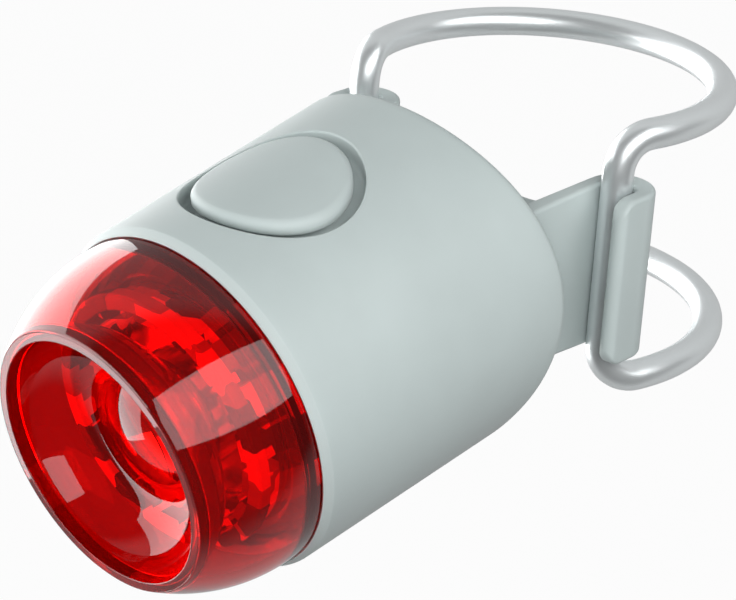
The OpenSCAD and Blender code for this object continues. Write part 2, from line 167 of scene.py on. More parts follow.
class LensSizes(bpy.types.PropertyGroup):
    """Sizes of the lens and the optics behind it."""

    base_r: FloatProperty(
        name="Base radius", description="Radius at the seam",
        default=14.7 * MM, unit="LENGTH")
    rim_r: FloatProperty(
        name="Rim radius", description="Outer radius of the front rim",
        default=11.4 * MM, unit="LENGTH")
    rim_w: FloatProperty(
        name="Rim width", description="Width of the front rim",
        default=0.8 * MM, unit="LENGTH")
    length: FloatProperty(
        name="Length", description="Reach in front of the seam",
        default=9.9 * MM, unit="LENGTH")
    bulge: FloatProperty(
        name="Bulge", description="How far the side bulges from a cone",
        default=0.9 * MM, unit="LENGTH")
    bowl: FloatProperty(
        name="Bowl depth", description="Depth of the bowl in the front",
        default=5.2 * MM, unit="LENGTH")
    eye_r: FloatProperty(
        name="Eye radius", description="Radius of the bull's-eye",
        default=4.8 * MM, unit="LENGTH")
    eye_h: FloatProperty(
        name="Eye height", description="Height of the bull's-eye",
        default=1.4 * MM, unit="LENGTH")
    wall: FloatProperty(
        name="Wall", description="Wall thickness of the lens",
        default=1.1 * MM, unit="LENGTH")
    prisms: IntProperty(
        name="Prisms", description="Number of prisms round the light guide",
        default=18, min=6, max=40)


class Finishes(bpy.types.PropertyGroup):
    """Colours of the finishes."""

    silicone: FloatVectorProperty(
        name="Silicone", description="Pale grey-green of the sleeve",
        size=4, subtype="COLOR", default=srgb("#B7C2C1"), min=0, max=1)
    lens_red: FloatVectorProperty(
        name="Lens red", description="Red of the clear lens",
        size=4, subtype="COLOR", default=srgb("#FF0A06"), min=0, max=1)
    guide_red: FloatVectorProperty(
        name="Guide red", description="Red of the light guide",
        size=4, subtype="COLOR", default=srgb("#FF0600"), min=0, max=1)
    wire_grey: FloatVectorProperty(
        name="Wire grey", description="Bright grey of the steel wire",
        size=4, subtype="COLOR", default=srgb("#E0E5E6"), min=0, max=1)


def put(tree, kind, values=None, links=None, **settings):
    """Adds a node: settings are its own properties, values its unlinked inputs, and links the outputs that feed the
    other inputs."""
    n = tree.nodes.new(kind)
    for key, value in settings.items():
        setattr(n, key, value)
    for key, value in (values or {}).items():
        n.inputs[key].default_value = value
    for key, output in (links or {}).items():
        tree.links.new(output, n.inputs[key])
    return n


def combine(tree, operation, *terms):
    """Output of a maths node that joins numbers and other outputs by an operation."""
    fixed = {i: term for i, term in enumerate(terms) if isinstance(term, float)}
    fed = {i: term for i, term in enumerate(terms) if i not in fixed}
    return put(tree, "ShaderNodeMath", fixed, fed, operation=operation).outputs["Value"]


def blank_material(name):
    """A new material, its node tree and its Principled shader, or the material of that name with no shader where it
    is already made."""
    mat = bpy.data.materials.get(name)
    if mat:
        return mat, mat.node_tree, None
    mat = bpy.data.materials.new(name)
    mat.use_nodes = True
    tree = mat.node_tree
    tree.nodes.clear()
    shader = put(tree, "ShaderNodeBsdfPrincipled")
    put(tree, "ShaderNodeOutputMaterial", links={"Surface": shader.outputs["BSDF"]})
    return mat, tree, shader


def set_inputs(shader, **values):
    """Sets inputs of a shader, with an underscore for each space in an input's name."""
    for key, value in values.items():
        shader.inputs[key.replace("_", " ")].default_value = value


def noise(tree, vector, size, detail, roughness=0.5):
    """Noise pattern with features of a given size."""
    values = {"Scale": 1 / size, "Detail": detail, "Roughness": roughness}
    return put(tree, "ShaderNodeTexNoise", values, {"Vector": vector}).outputs["Fac"]


def vary_gloss(tree, shader, pattern, low, high):
    """Lets a pattern vary the shader's roughness between two values."""
    rough = put(tree, "ShaderNodeMapRange", {"To Min": low, "To Max": high}, {"Value": pattern})
    tree.links.new(rough.outputs["Result"], shader.inputs["Roughness"])


def add_bump(tree, shader, pattern, strength, depth):
    """Lets a pattern stand out of the surface by a depth."""
    bump = put(tree, "ShaderNodeBump", {"Strength": strength, "Distance": depth}, {"Height": pattern})
    tree.links.new(bump.outputs["Normal"], shader.inputs["Normal"])


def moulded_silicone():
    """Silicone rubber from a fine-blasted mould: soft satin, no hard gloss, a faint cloudiness and tiny grain."""
    mat, tree, shader = blank_material("moulded_silicone")
    if shader is None:
        return mat
    base = np.array(bpy.context.scene.light_finishes.silicone[:3])
    place = put(tree, "ShaderNodeTexCoord").outputs["Object"]
    cloud = noise(tree, place, 9 * MM, 3.0)
    tone = put(tree, "ShaderNodeValToRGB", links={"Fac": cloud})
    for step, spot, shade in zip(tone.color_ramp.elements, (0.3, 0.7), (0.965, 1.03)):
        step.position = spot
        step.color = (*np.minimum(base * shade, 1).tolist(), 1)
    tree.links.new(tone.outputs["Color"], shader.inputs["Base Color"])
    vary_gloss(tree, shader, cloud, 0.46, 0.56)
    # Blasted mould grain is about 0.05 mm: drawn at 0.22 mm so that it shows in the render.
    add_bump(tree, shader, noise(tree, place, 0.22 * MM, 2.0), 0.05, 0.02 * MM)
    set_inputs(shader, IOR=1.41, Sheen_Weight=0.12, Sheen_Roughness=0.4)
    return mat


def polished_stainless():
    """Stainless wire, drawn and polished: bright, with fine lengthwise draw marks that soften the reflections."""
    mat, tree, shader = blank_material("polished_stainless_wire")
    if shader is None:
        return mat
    along = put(tree, "ShaderNodeUVMap", uv_map="draw")
    # Marks about 6 mm long, sixty of them round the wire.
    marks = put(tree, "ShaderNodeMapping", {"Scale": (1 / (6 * MM), 60.0, 1.0)}, {"Vector": along.outputs["UV"]})
    streak = noise(tree, marks.outputs["Vector"], 1.0, 3.0, 0.6)
    vary_gloss(tree, shader, streak, 0.28, 0.38)
    add_bump(tree, shader, streak, 0.03, 0.01 * MM)
    # Less than fully metallic, for the pale satin look of the photograph.
    set_inputs(shader, Base_Color=tuple(bpy.context.scene.light_finishes.wire_grey), Metallic=0.7)
    return mat


def red_polycarbonate():
    """Injected clear red polycarbonate: a hard gloss over a deep red that shows the optics behind it."""
    mat, tree, shader = blank_material("red_polycarbonate")
    if shader is None:
        return mat
    place = put(tree, "ShaderNodeTexCoord").outputs["Object"]
    # Flow marks of the moulding, a few millimetres long and very shallow.
    add_bump(tree, shader, noise(tree, place, 4 * MM, 1.0), 0.02, 0.05 * MM)
    # A little of the light scatters in the dye, so that the thick rim and base stay dark red.
    red = tuple(bpy.context.scene.light_finishes.lens_red)
    set_inputs(shader, Base_Color=red, Roughness=0.015, IOR=1.5, Transmission_Weight=0.94)
    return mat


def red_acrylic_painted_glow():
    """Moulded red acrylic of the light guide with cut facets. Painted light: each facet gets at random a dark, half
    lit or lit red, as colour and as a faint glow, in place of the light it would pipe to the eye.
    """
    mat, tree, shader = blank_material("red_acrylic_painted_glow")
    if shader is None:
        return mat
    red = np.array(bpy.context.scene.light_finishes.guide_red[:3])
    place = put(tree, "ShaderNodeTexCoord").outputs["Object"]
    facet = put(tree, "ShaderNodeTexVoronoi", {"Scale": 1 / (3.0 * MM), "Randomness": 0.6}, {"Vector": place},
                distance="CHEBYCHEV")
    pick = put(tree, "ShaderNodeSeparateColor", links={"Color": facet.outputs["Color"]})
    tone = put(tree, "ShaderNodeValToRGB", links={"Fac": pick.outputs["Red"]})
    # Painted light: three kinds of facet, dark, half lit and lit, picked at random whatever the lamps do.
    ramp = tone.color_ramp
    ramp.interpolation = "CONSTANT"
    ramp.elements.new(0.3)
    ramp.elements[2].position = 0.62
    for step, light in zip(ramp.elements, (0.06, 0.36, 0.95)):
        step.color = (*(red * light).tolist(), 1)
    tree.links.new(tone.outputs["Color"], shader.inputs["Base Color"])
    # Painted glow: the same painted shades also glow faintly, though the guide is no lamp.
    tree.links.new(tone.outputs["Color"], shader.inputs["Emission Color"])
    vary_gloss(tree, shader, noise(tree, place, 3 * MM, 1.0), 0.05, 0.14)
    set_inputs(shader, IOR=1.49, Emission_Strength=0.35)
    return mat


def plain_finish(name, code, roughness, metallic=0.0, grain_mm=0.4, depth=0.1, **values):
    """A moulded, plated or cut finish: one colour, a fine surface grain in bump and a little unevenness in gloss."""
    mat, tree, shader = blank_material(name)
    if shader is None:
        return mat
    grain = noise(tree, put(tree, "ShaderNodeTexCoord").outputs["Object"], grain_mm * MM, 2.0)
    vary_gloss(tree, shader, grain, roughness * 0.85, min(roughness * 1.2, 1.0))
    add_bump(tree, shader, grain, depth, 0.02 * MM)
    set_inputs(shader, Base_Color=srgb(code), Metallic=metallic, **values)
    return mat


def quads(nu, nv, wrap_u=False, wrap_v=False, keep=None):
    """Corner numbers of the cells of a grid of nu by nv points, closed along a direction where it wraps."""
    i, j = np.meshgrid(np.arange(nu if wrap_u else nu - 1), np.arange(nv if wrap_v else nv - 1), indexing="ij")
    a, b = (i + 1) % nu, (j + 1) % nv
    cells = np.stack([i * nv + j, a * nv + j, a * nv + b, i * nv + b], -1)
    return cells[keep] if keep is not None else cells.reshape(-1, 4)


def lay_mesh(name, parts, material, body, smooth=True, uv=None):
    """Welds grids of points and cells into one mesh, turns it outward and lets it ride on its body. A cell that the
    weld leaves with three corners becomes a triangle, and one with fewer is left out; a UV needs all four."""
    points, drawn, start = [], [], 0
    for p, q in parts:
        p = np.asarray(p, float).reshape(-1, 3)
        points.append(p)
        drawn.append(q + start)
        start += len(p)
    points, drawn = np.concatenate(points), np.concatenate(drawn)
    spots = np.round(points / WELD).astype(np.int64)
    _, first, same = np.unique(spots, axis=0, return_index=True, return_inverse=True)
    points, cells = points[first], same.reshape(-1)[drawn]
    doubled = cells == np.roll(cells, -1, axis=1)
    whole, bent = cells[doubled.sum(1) == 0], doubled.sum(1) == 1
    order = (doubled[bent].argmax(1)[:, None] + np.arange(1, 4)) % 4
    corners = np.take_along_axis(cells[bent], order, axis=1)
    mesh = bpy.data.meshes.new(name)
    mesh.from_pydata(points.tolist(), [], whole.tolist() + corners.tolist())
    if uv is not None:
        mesh.uv_layers.new(name="draw").data.foreach_set("uv", uv.reshape(-1, 2)[drawn].reshape(-1))
    bm = bmesh.new()
    bm.from_mesh(mesh)
    bmesh.ops.recalc_face_normals(bm, faces=bm.faces)
    bm.to_mesh(mesh)
    bm.free()
    mesh.polygons.foreach_set("use_smooth", np.full(len(mesh.polygons), smooth))
    mesh.materials.append(material)
    obj = bpy.data.objects.new(name, mesh)
    bpy.context.scene.collection.objects.link(obj)
    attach(obj, body)
    return obj


def round_axis(r, y, a):
    """Points round the light's axis: radius, distance behind the seam, and angle from the top towards +X."""
    return np.stack(np.broadcast_arrays(r * np.sin(a), SEAM_Y + y, r * np.cos(a)), -1)


def arc(cx, cy, r, a, b, n):
    """Points of a circle's arc, from angle a to angle b in degrees."""
    t = np.radians(np.linspace(a, b, n))
    return np.stack([cx + r * np.cos(t), cy + r * np.sin(t)], -1)


def swept(path, normal, half_t, height, corner):
    """Rounded bar carried along a flat path: each section is a rectangle of the path's thickness and height with
    round corners."""
    per_corner = 6
    t = np.linspace(0, 90, per_corner)
    quarter = np.radians(np.concatenate([t + k for k in (0, 90, 180, 270)]))
    sx = np.repeat([1, -1, -1, 1], per_corner)
    sz = np.repeat([1, 1, -1, -1], per_corner)
    c = np.minimum(corner, np.minimum(half_t, height / 2))[:, None]
    n = sx * (half_t[:, None] - c) + c * np.cos(quarter)
    z = sz * (height[:, None] / 2 - c) + c * np.sin(quarter)
    flat = path[:, None, :] + n[..., None] * normal[:, None, :]
    return np.concatenate([flat, z[..., None]], -1)


def tube(path, middle, radius, sides):
    """Round tube along a closed path: at each point a ring that stands square to the path, begun on the side that
    looks away from the upright line through the middle. Also the length along the path and the turn, as UV."""
    path = np.concatenate([path, path[:1]])
    step = np.diff(path, axis=0, prepend=path[-2:-1])
    tangent = step + np.roll(step, -1, 0)
    tangent[-1] = tangent[0] = step[0] + step[1]
    tangent /= np.linalg.norm(tangent, axis=1)[:, None]
    side = np.cross(tangent, (path - [0, middle, 0]) * [1, 1, 0])
    side /= np.linalg.norm(side, axis=1)[:, None]
    other = np.cross(side, tangent)
    a = np.linspace(0, 2 * np.pi, sides + 1)
    ring = np.cos(a)[:, None] * other[:, None] + np.sin(a)[:, None] * side[:, None]
    length = np.cumsum(np.linalg.norm(step, axis=1))
    uv = np.stack(np.broadcast_arrays(length[:, None], a / (2 * np.pi)), -1)
    return path[:, None] + radius * ring, uv


def sleeve_radius(s, y):
    """Radius of the barrel's straight flank at a distance behind the seam."""
    return s.front_r + s.flare * (y - s.lip_len) / (s.length - s.lip_len)


def hollow(s, x, z):
    """Distance behind the seam of the barrel's hollowed back: a cylinder that leans with the post."""
    return s.length + z * math.tan(s.lean) + (s.hollow_r - np.sqrt(s.hollow_r**2 - x * x)) / math.cos(s.lean)


def hollow_plan(s, x):
    """The hollow's place along Y in the post's upright frame, at a distance from the middle."""
    return (SEAM_Y + s.length) * math.cos(s.lean) + s.hollow_r - np.sqrt(s.hollow_r**2 - x * x)


def leaned(points, s, drop):
    """Points lowered along the post, then turned about the X axis from upright to the post's lean."""
    c, k = math.cos(s.lean), math.sin(s.lean)
    return (points - [0, 0, drop]) @ np.array([[1, 0, 0], [0, c, -k], [0, k, c]])


class LIGHT_OT_sleeve(bpy.types.Operator):
    """Silicone sleeve: barrel with the button's groove and the port's recess, saddle pad, ears and hooks"""

    bl_idname = "rear_light.sleeve"
    bl_label = "Silicone Sleeve"

    def execute(self, context):
        s = context.scene.light_sleeve
        w = context.scene.light_loop
        parts = self.barrel(s) + [(leaned(p, s, s.drop), q) for p, q in self.ears(s, w) + self.pad(s, w)]
        skin = lay_mesh("sleeve_skin", parts, moulded_silicone(), "light")
        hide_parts("silicone_sleeve")
        return {"FINISHED"}

    def barrel(self, s):
        """The barrel: a cone with a bevelled lip, drawn as a grid of angle and length from the lip to its hollowed
        back, apart from a window in the top that takes the button."""
        behind_port, behind_button, window = 7.9 * MM, 10.6 * MM, math.radians(43)
        y0, y_low, y_top = s.lip_len, s.port_y + behind_port, s.button_y + behind_button
        # Port's recess: ends of the cover, of its knuckle and of the socket, and the half widths of socket,
        # knuckle and cover, as angles at the barrel's radius there
        cover_front, cover_back, knuckle_end, socket_half = 7.2 * MM, 5.8 * MM, 7.65 * MM, 4.9 * MM
        gap, port_r = 0.3 * MM, 15.8 * MM
        lid = (s.port_y - cover_front - gap, s.port_y + cover_back + gap, s.port_y + knuckle_end)
        slot = (s.port_y - socket_half, s.port_y + socket_half)
        share = np.array([2.0, 2.3, 4.3]) * MM / port_r
        rows = np.unique(np.concatenate([np.linspace(y0, y_low, 60), lid, slot]))
        across = np.linspace(-window, window, 45)
        side = np.concatenate([np.linspace(window, 2 * np.pi - window, 121), np.pi + share, np.pi - share])
        side = np.unique(np.round(side, 6))
        side[0], side[-1] = window, 2 * np.pi - window
        # The grid ends in a level ring under the port and further back on top, behind the button
        level, blend = np.radians(112), np.radians(60)
        near = np.clip((level - (np.pi - np.abs(side - np.pi))) / blend, 0, 1)
        y_end = y_low + (y_top - y_low) * near**2 * (3 - 2 * near)
        y = y0 + (rows - y0)[:, None] * (y_end - y0) / (y_low - y0)
        flank = sleeve_radius(s, y[:, 0]) * math.sin(window)
        ends = np.ones(len(across) - 1)
        rim = np.concatenate([
            np.stack([sleeve_radius(s, y0) * np.sin(across[:-1]), y0 * ends], -1),
            np.stack([flank, y[:, 0]], -1)[:-1],
            np.stack([sleeve_radius(s, y_top) * np.sin(across[:0:-1]), y_top * ends], -1),
            np.stack([-flank, y[:, 0]], -1)[:0:-1],
        ])
        # Lip and back go round on the angles of window and grid together
        a = np.concatenate([across[:-1], side[:-1]])
        r_back, y_back = self.back(s, a, np.concatenate([y_top * ends, y_end[:-1]]))
        return [
            self.top(s, rim),
            *self.underside(s, side, rows, y, lid, slot, share),
            self.lip(s, a),
            (round_axis(r_back, y_back, a), quads(*r_back.shape, wrap_v=True)),
        ]

    def top(self, s, rim):
        """Window in the top: rays run from its rim over the barrel to the groove round the cap, then down and across
        the disc under the cap to the button's middle, as depths below the barrel."""
        moat_r, edge_r, floor_r = s.button_r + s.moat_w, 0.18 * MM, 0.65 * MM
        shoulder, disc_r = moat_r + 0.26 * MM, s.button_r - 0.35 * MM
        wall_z, floor_z, disc_z, middle_z = -0.75 * MM, -1.05 * MM, -1.85 * MM, -2.05 * MM
        prof = np.concatenate([
            [[shoulder, 0]],
            arc(moat_r + edge_r, -edge_r, edge_r, 90, 180, 7),
            [[moat_r, wall_z]],
            arc(moat_r - floor_r, floor_z, floor_r, 0, -75, 8),
            np.stack([np.linspace(disc_r, 0, 9), np.linspace(disc_z, middle_z, 9)], -1),
        ])
        mid = np.array([0, s.button_y])
        ray = (rim - mid) / np.linalg.norm(rim - mid, axis=1)[:, None]
        t = np.linspace(0, 1, 14)[:, None, None]
        flat = np.concatenate([rim * (1 - t) + (mid + ray * shoulder) * t, mid + ray * prof[1:, 0][:, None, None]])
        depth = np.concatenate([np.zeros(len(t)), prof[1:, 1]])[:, None]
        x, y = flat[..., 0], flat[..., 1]
        points = np.stack([x, SEAM_Y + y, np.sqrt(sleeve_radius(s, y) ** 2 - x**2) + depth], -1)
        return points, quads(*points.shape[:2], wrap_v=True)

    def underside(self, s, side, rows, y, lid, slot, share):
        """Sides and underside: the grid without the cells over the port, the recess's floor lower down without those
        over the socket, and the walls of both."""
        off = np.abs((side[:-1] + side[1:]) / 2 - np.pi)
        yc = (rows[:-1] + rows[1:])[:, None] / 2
        in_slot = (off < share[0]) & (yc > slot[0]) & (yc < slot[1])
        in_neck = (off < share[1]) & (yc > lid[1]) & (yc < lid[2])
        in_lid = (off < share[2]) & (yc > lid[0]) & (yc < lid[1])
        recess = in_lid | in_neck
        depths = (0.0, 1.15 * MM, 2.3 * MM)
        skin, floor, deep = (round_axis(sleeve_radius(s, y) - d, y, side) for d in depths)
        return [
            (skin, quads(*y.shape, keep=~recess)),
            (floor, quads(*y.shape, keep=recess & ~in_slot)),
            self.walls(skin, floor, recess),
            self.walls(floor, deep, in_slot),
        ]

    def lip(self, s, a):
        """Front lip: a bevel with softened edges, given by how far it lies inward and forward of the flank's end,
        then a thin gap to the lens and the start of the bore."""
        inward = np.array([0, 0.01, 0.05, 0.42, 0.47, 0.53, 0.56, 0.58]) * MM
        forward = np.array([0, 0.06, 0.12, 0.7, 0.76, 0.77, 0.72, 0.45]) * MM
        half = np.stack([s.front_r - inward, s.lip_len - forward], -1)
        bore_from, bore_to = 0.4 * MM, 3 * MM
        half = np.concatenate([half, [[s.bore_r, bore_from], [s.bore_r, bore_to]]])
        return round_axis(half[:, :1], half[:, 1:], a), quads(len(half), len(a), wrap_v=True)

    def back(self, s, a, start):
        """Radius and length of the rows behind the grid: flank, an arc tangent to flank and hollow, then the
        hollow itself drawn in to the axis."""
        f, small = s.edge_r, 0.05 * MM
        past_middle = 3 * MM
        r = sleeve_radius(s, s.length + past_middle) + 0 * a
        edge = hollow(s, r * np.sin(a), r * np.cos(a))
        slope = (hollow(s, (r + small) * np.sin(a), (r + small) * np.cos(a)) - edge) / small
        centre = edge - f * slope - f * np.sqrt(1 + slope**2)
        r = sleeve_radius(s, centre)
        flank_y = start + np.linspace(0, 1, 9)[:-1, None] * (centre - start)
        turn = np.linspace(0, 1, 9)[:, None] * (np.pi / 2 + np.arctan(slope))
        arc_r, arc_y = r - f + f * np.cos(turn), centre + f * np.sin(turn)
        t = np.linspace(1, 0, 14)[1:, None]
        face_r = arc_r[-1] * t
        miss = arc_y[-1] - hollow(s, arc_r[-1] * np.sin(a), arc_r[-1] * np.cos(a))
        face_y = hollow(s, face_r * np.sin(a), face_r * np.cos(a)) + miss * t**4
        return np.concatenate([sleeve_radius(s, flank_y), arc_r, face_r]), np.concatenate([flank_y, arc_y, face_y])

    def walls(self, upper, lower, hole):
        """Upright walls between two layers of a grid, wherever a cell of the hole meets one outside it."""
        outside = ~np.pad(hole, 1)
        nv = upper.shape[1]
        found = []
        i, j = np.nonzero(hole)
        # Each of a cell's four neighbours, and the two corners of the edge that they share
        for di, dj, a, b in (
            (-1, 0, (0, 0), (0, 1)),
            (1, 0, (1, 0), (1, 1)),
            (0, -1, (0, 0), (1, 0)),
            (0, 1, (0, 1), (1, 1)),
        ):
            edge = outside[i + 1 + di, j + 1 + dj]
            p = (i[edge] + a[0]) * nv + j[edge] + a[1]
            q = (i[edge] + b[0]) * nv + j[edge] + b[1]
            found.append(np.stack([p, q, q + upper.size // 3, p + upper.size // 3], -1))
        return np.concatenate([upper.reshape(-1, 3), lower.reshape(-1, 3)]), np.concatenate(found)

    def ears(self, s, w):
        """Each ear: a rounded bar along a flat path, from the barrel's back past the post, round the wire and
        forward again as the hook's lip, which thins to a round end."""
        run, throat, wall = np.array(w.run), w.wire_r + WIRE_GAP, s.hook_wall
        root_sink, root_half, corner, lip_round = 1.2 * MM, 0.95 * MM, 0.42 * MM, 1.8 * MM
        root_x = run[0] - throat - STRAP_IN
        root = np.array([root_x, hollow_plan(s, root_x) - root_sink])
        turn = np.array([run[0], run[1] + THROAT_BACK / 2])
        r = throat + wall / 2
        strap = root + (turn - [r, 0] - root) * np.linspace(0, 1, 40)[:-1, None]
        bend = arc(*turn, r, 180, 0, 41)
        tip = run[1] - s.hook_lip
        lip_y = tip + wall / 2 * (1 - np.cos(np.linspace(np.pi / 2, 0, 14)))
        lip_y = np.concatenate([np.linspace(turn[1], tip + wall / 2, 14)[1:], lip_y[1:]])
        path = np.concatenate([strap, bend, np.stack([np.full(len(lip_y), run[0] + r), lip_y], -1)])
        step = np.gradient(path, axis=0)
        step[-1] = (0, -1)
        step /= np.linalg.norm(step, axis=1)[:, None]
        normal = np.stack([step[:, 1], -step[:, 0]], -1)
        # The strap starts sunk in the barrel, with a fillet in thickness and height where it comes out
        on_strap, on_bend = slice(0, len(strap)), slice(len(strap), len(strap) + len(bend))
        in_lip = np.arange(len(path)) >= on_bend.stop
        clear = strap[:, 1] - hollow_plan(s, strap[:, 0])
        sunk, clear = np.maximum(-clear, 0), np.maximum(clear, 0)
        half_t = np.full(len(path), wall / 2)
        fillet_t, fade_t, fillet_h, fade_h = 0.9 * MM, 0.55 * MM, 0.5 * MM, 0.7 * MM
        half_t[on_strap] = np.linspace(root_half, wall / 2, len(strap)) + fillet_t * np.exp(-clear / fade_t)
        half_t[on_bend] += THROAT_BACK / 2 * np.sin(np.linspace(0, np.pi, len(bend)))
        half_t *= np.sqrt(1 - (in_lip * np.clip((tip + wall / 2 - path[:, 1]) / (wall / 2), 0, 1)) ** 2)
        round_off = in_lip * np.clip((tip + lip_round - path[:, 1]) / lip_round, 0, 1)
        height = s.hook_h - 2 * lip_round * (1 - np.sqrt(1 - round_off**2))
        # Towards the barrel the strap narrows from above
        fall = np.linspace(1, 0, len(strap))
        narrow, lower, taper = 1.0 * MM, 0.55 * MM, 2.4
        height[on_strap] += fillet_h * np.exp(-clear / fade_h) - taper * sunk - narrow * fall
        right = swept(path, normal, half_t, height, np.full(len(path), corner))
        right[on_strap, :, 2] -= lower * fall[:, None]
        cells = quads(*right.shape[:2], wrap_v=True)
        return [(right, cells), (right * [-1, 1, 1], cells[:, ::-1])]

    def pad(self, s, w):
        """Saddle pad: at each angle round the post, a section from the barrel or ear to the post's face and back."""
        run, throat = np.array(w.run), w.wire_r + WIRE_GAP
        half_turn = math.radians(57.5)
        a = np.linspace(-half_turn, half_turn, 121)
        ray = np.stack([np.sin(a), -np.cos(a)], -1)
        side = np.abs(ray[:, 0])
        # Each section starts sunk in the barrel, or on the middle of the ear where that comes first
        sink = 0.8 * MM
        root = np.array([run[0] - throat - STRAP_IN, SEAM_Y + s.length])
        along = np.array([run[0] - throat - s.hook_wall / 2, run[1] + THROAT_BACK]) - root
        middle = (SEAM_Y + s.length) * math.cos(s.lean) + s.hollow_r
        to_hollow = sink - middle * np.cos(a) + np.sqrt(s.hollow_r**2 - (middle * np.sin(a)) ** 2)
        to_ear = (root[0] * along[1] - root[1] * along[0]) / (side * along[1] - ray[:, 1] * along[0])
        reach = np.where((to_ear > 0) & (to_ear < to_hollow), to_ear, to_hollow)
        # The top is level in the middle and falls towards the ears
        level, slope, drop = 2 * MM, 7 * MM, 1.9 * MM
        fall = np.clip((s.post_r * side - level) / slope, 0, 1)
        top = (s.pad_h / 2 - drop * fall * fall * (3 - 2 * fall))[:, None]
        # Half a section: its start, a rounded corner and the post's face down to the middle
        corner = 0.7 * MM
        t = np.linspace(0, np.pi / 2, 8)
        rad = np.concatenate([[0], 1 - np.sin(t), np.zeros(5)])
        up = np.concatenate([[0], 1 - np.cos(t), np.linspace(1, 0, 6)[1:]])
        place = np.arange(len(rad))
        r = np.where(place == 0, reach[:, None], s.post_r + corner * rad)
        z = np.where(place > len(t), (top - corner) * up, top - corner * up)
        r, z = np.concatenate([r, r[:, -2::-1]], 1), np.concatenate([z, -z[:, -2::-1]], 1)
        return [(np.concatenate([r[..., None] * ray[:, None, :], z[..., None]], -1), quads(*r.shape))]


class LIGHT_OT_button(bpy.types.Operator):
    """Button cap: a disc that follows the barrel, with a rounded rim and a short skirt"""

    bl_idname = "rear_light.button"
    bl_label = "Button Cap"

    def execute(self, context):
        s = context.scene.light_sleeve
        rim_r, proud, skirt, chamfer = 0.6 * MM, 0.26 * MM, 1.06 * MM, 0.15 * MM
        prof = np.concatenate([
            np.stack([np.linspace(0, s.button_r - rim_r, 16), np.zeros(16)], -1),
            arc(s.button_r - rim_r, -rim_r, rim_r, 90, 0, 10)[1:],
            [[s.button_r, -skirt]],
            np.stack([np.linspace(s.button_r - chamfer, 0, 9), np.full(9, -skirt - chamfer)], -1),
        ])
        a = np.linspace(0, 2 * np.pi, 160, endpoint=False)
        x = prof[:, 0, None] * np.sin(a)
        y = s.button_y + prof[:, 0, None] * np.cos(a)
        r = sleeve_radius(s, y)
        cap = np.stack([x, SEAM_Y + y, np.sqrt(r * r - x * x) + proud + prof[:, 1, None]], -1)
        obj = lay_mesh("button_dome", [(cap, quads(*cap.shape[:2], wrap_v=True))], moulded_silicone(), "button")
        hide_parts("button_cap")
        return {"FINISHED"}


class LIGHT_OT_loop(bpy.types.Operator):
    """Wire loop: one round wire through two arches, four bends and two straight runs"""

    bl_idname = "rear_light.loop"
    bl_label = "Wire Loop"

    def execute(self, context):
        w = context.scene.light_loop
        ring, uv = tube(self.route(w), w.arch_y, w.wire_r, sides=28)
        ring = leaned(ring, context.scene.light_sleeve, w.drop)
        obj = lay_mesh("loop_wire", [(ring, quads(*ring.shape[:2]))], polished_stainless(), "loop", uv=uv)
        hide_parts("wire_loop")
        return {"FINISHED"}

    def route(self, w):
        """Middle of the wire, upright: round the upper half, then back through the lower half turned over."""
        upper, lower = self.half(w, w.arch_r, w.arch_y), self.half(w, w.low_r, w.low_y) * [1, 1, -1]
        return np.concatenate([upper, lower[::-1][1:-1]])

    def half(self, w, arch_r, arch_y):
        """Half of the wire from the middle of the right run to that of the left: a circle's arc, met on each side by
        a cubic curve that leaves the run and reaches the arc in line with both."""
        a = np.linspace(-w.wrap, np.pi + w.wrap, 181)
        over = np.stack([arch_r * np.cos(a), arch_y + arch_r * np.sin(a), np.full(len(a), w.arch_z)], -1)
        foot = np.array([*w.run, w.arch_z - w.reach])
        pull = 0.6 * w.reach
        leave = foot + [0, 0, pull]
        meet = over[0] - pull * np.array([math.sin(w.wrap), math.cos(w.wrap), 0])
        t = np.linspace(0, 1, 28)[:, None]
        u = 1 - t
        bend = u**3 * foot + 3 * t * u**2 * leave + 3 * t * t * u * meet + t**3 * over[0]
        rise = np.concatenate([np.linspace(foot * [1, 1, 0], foot, 12)[:-1], bend[:-1]])
        return np.concatenate([rise, over, (rise * [-1, 1, 1])[::-1]])


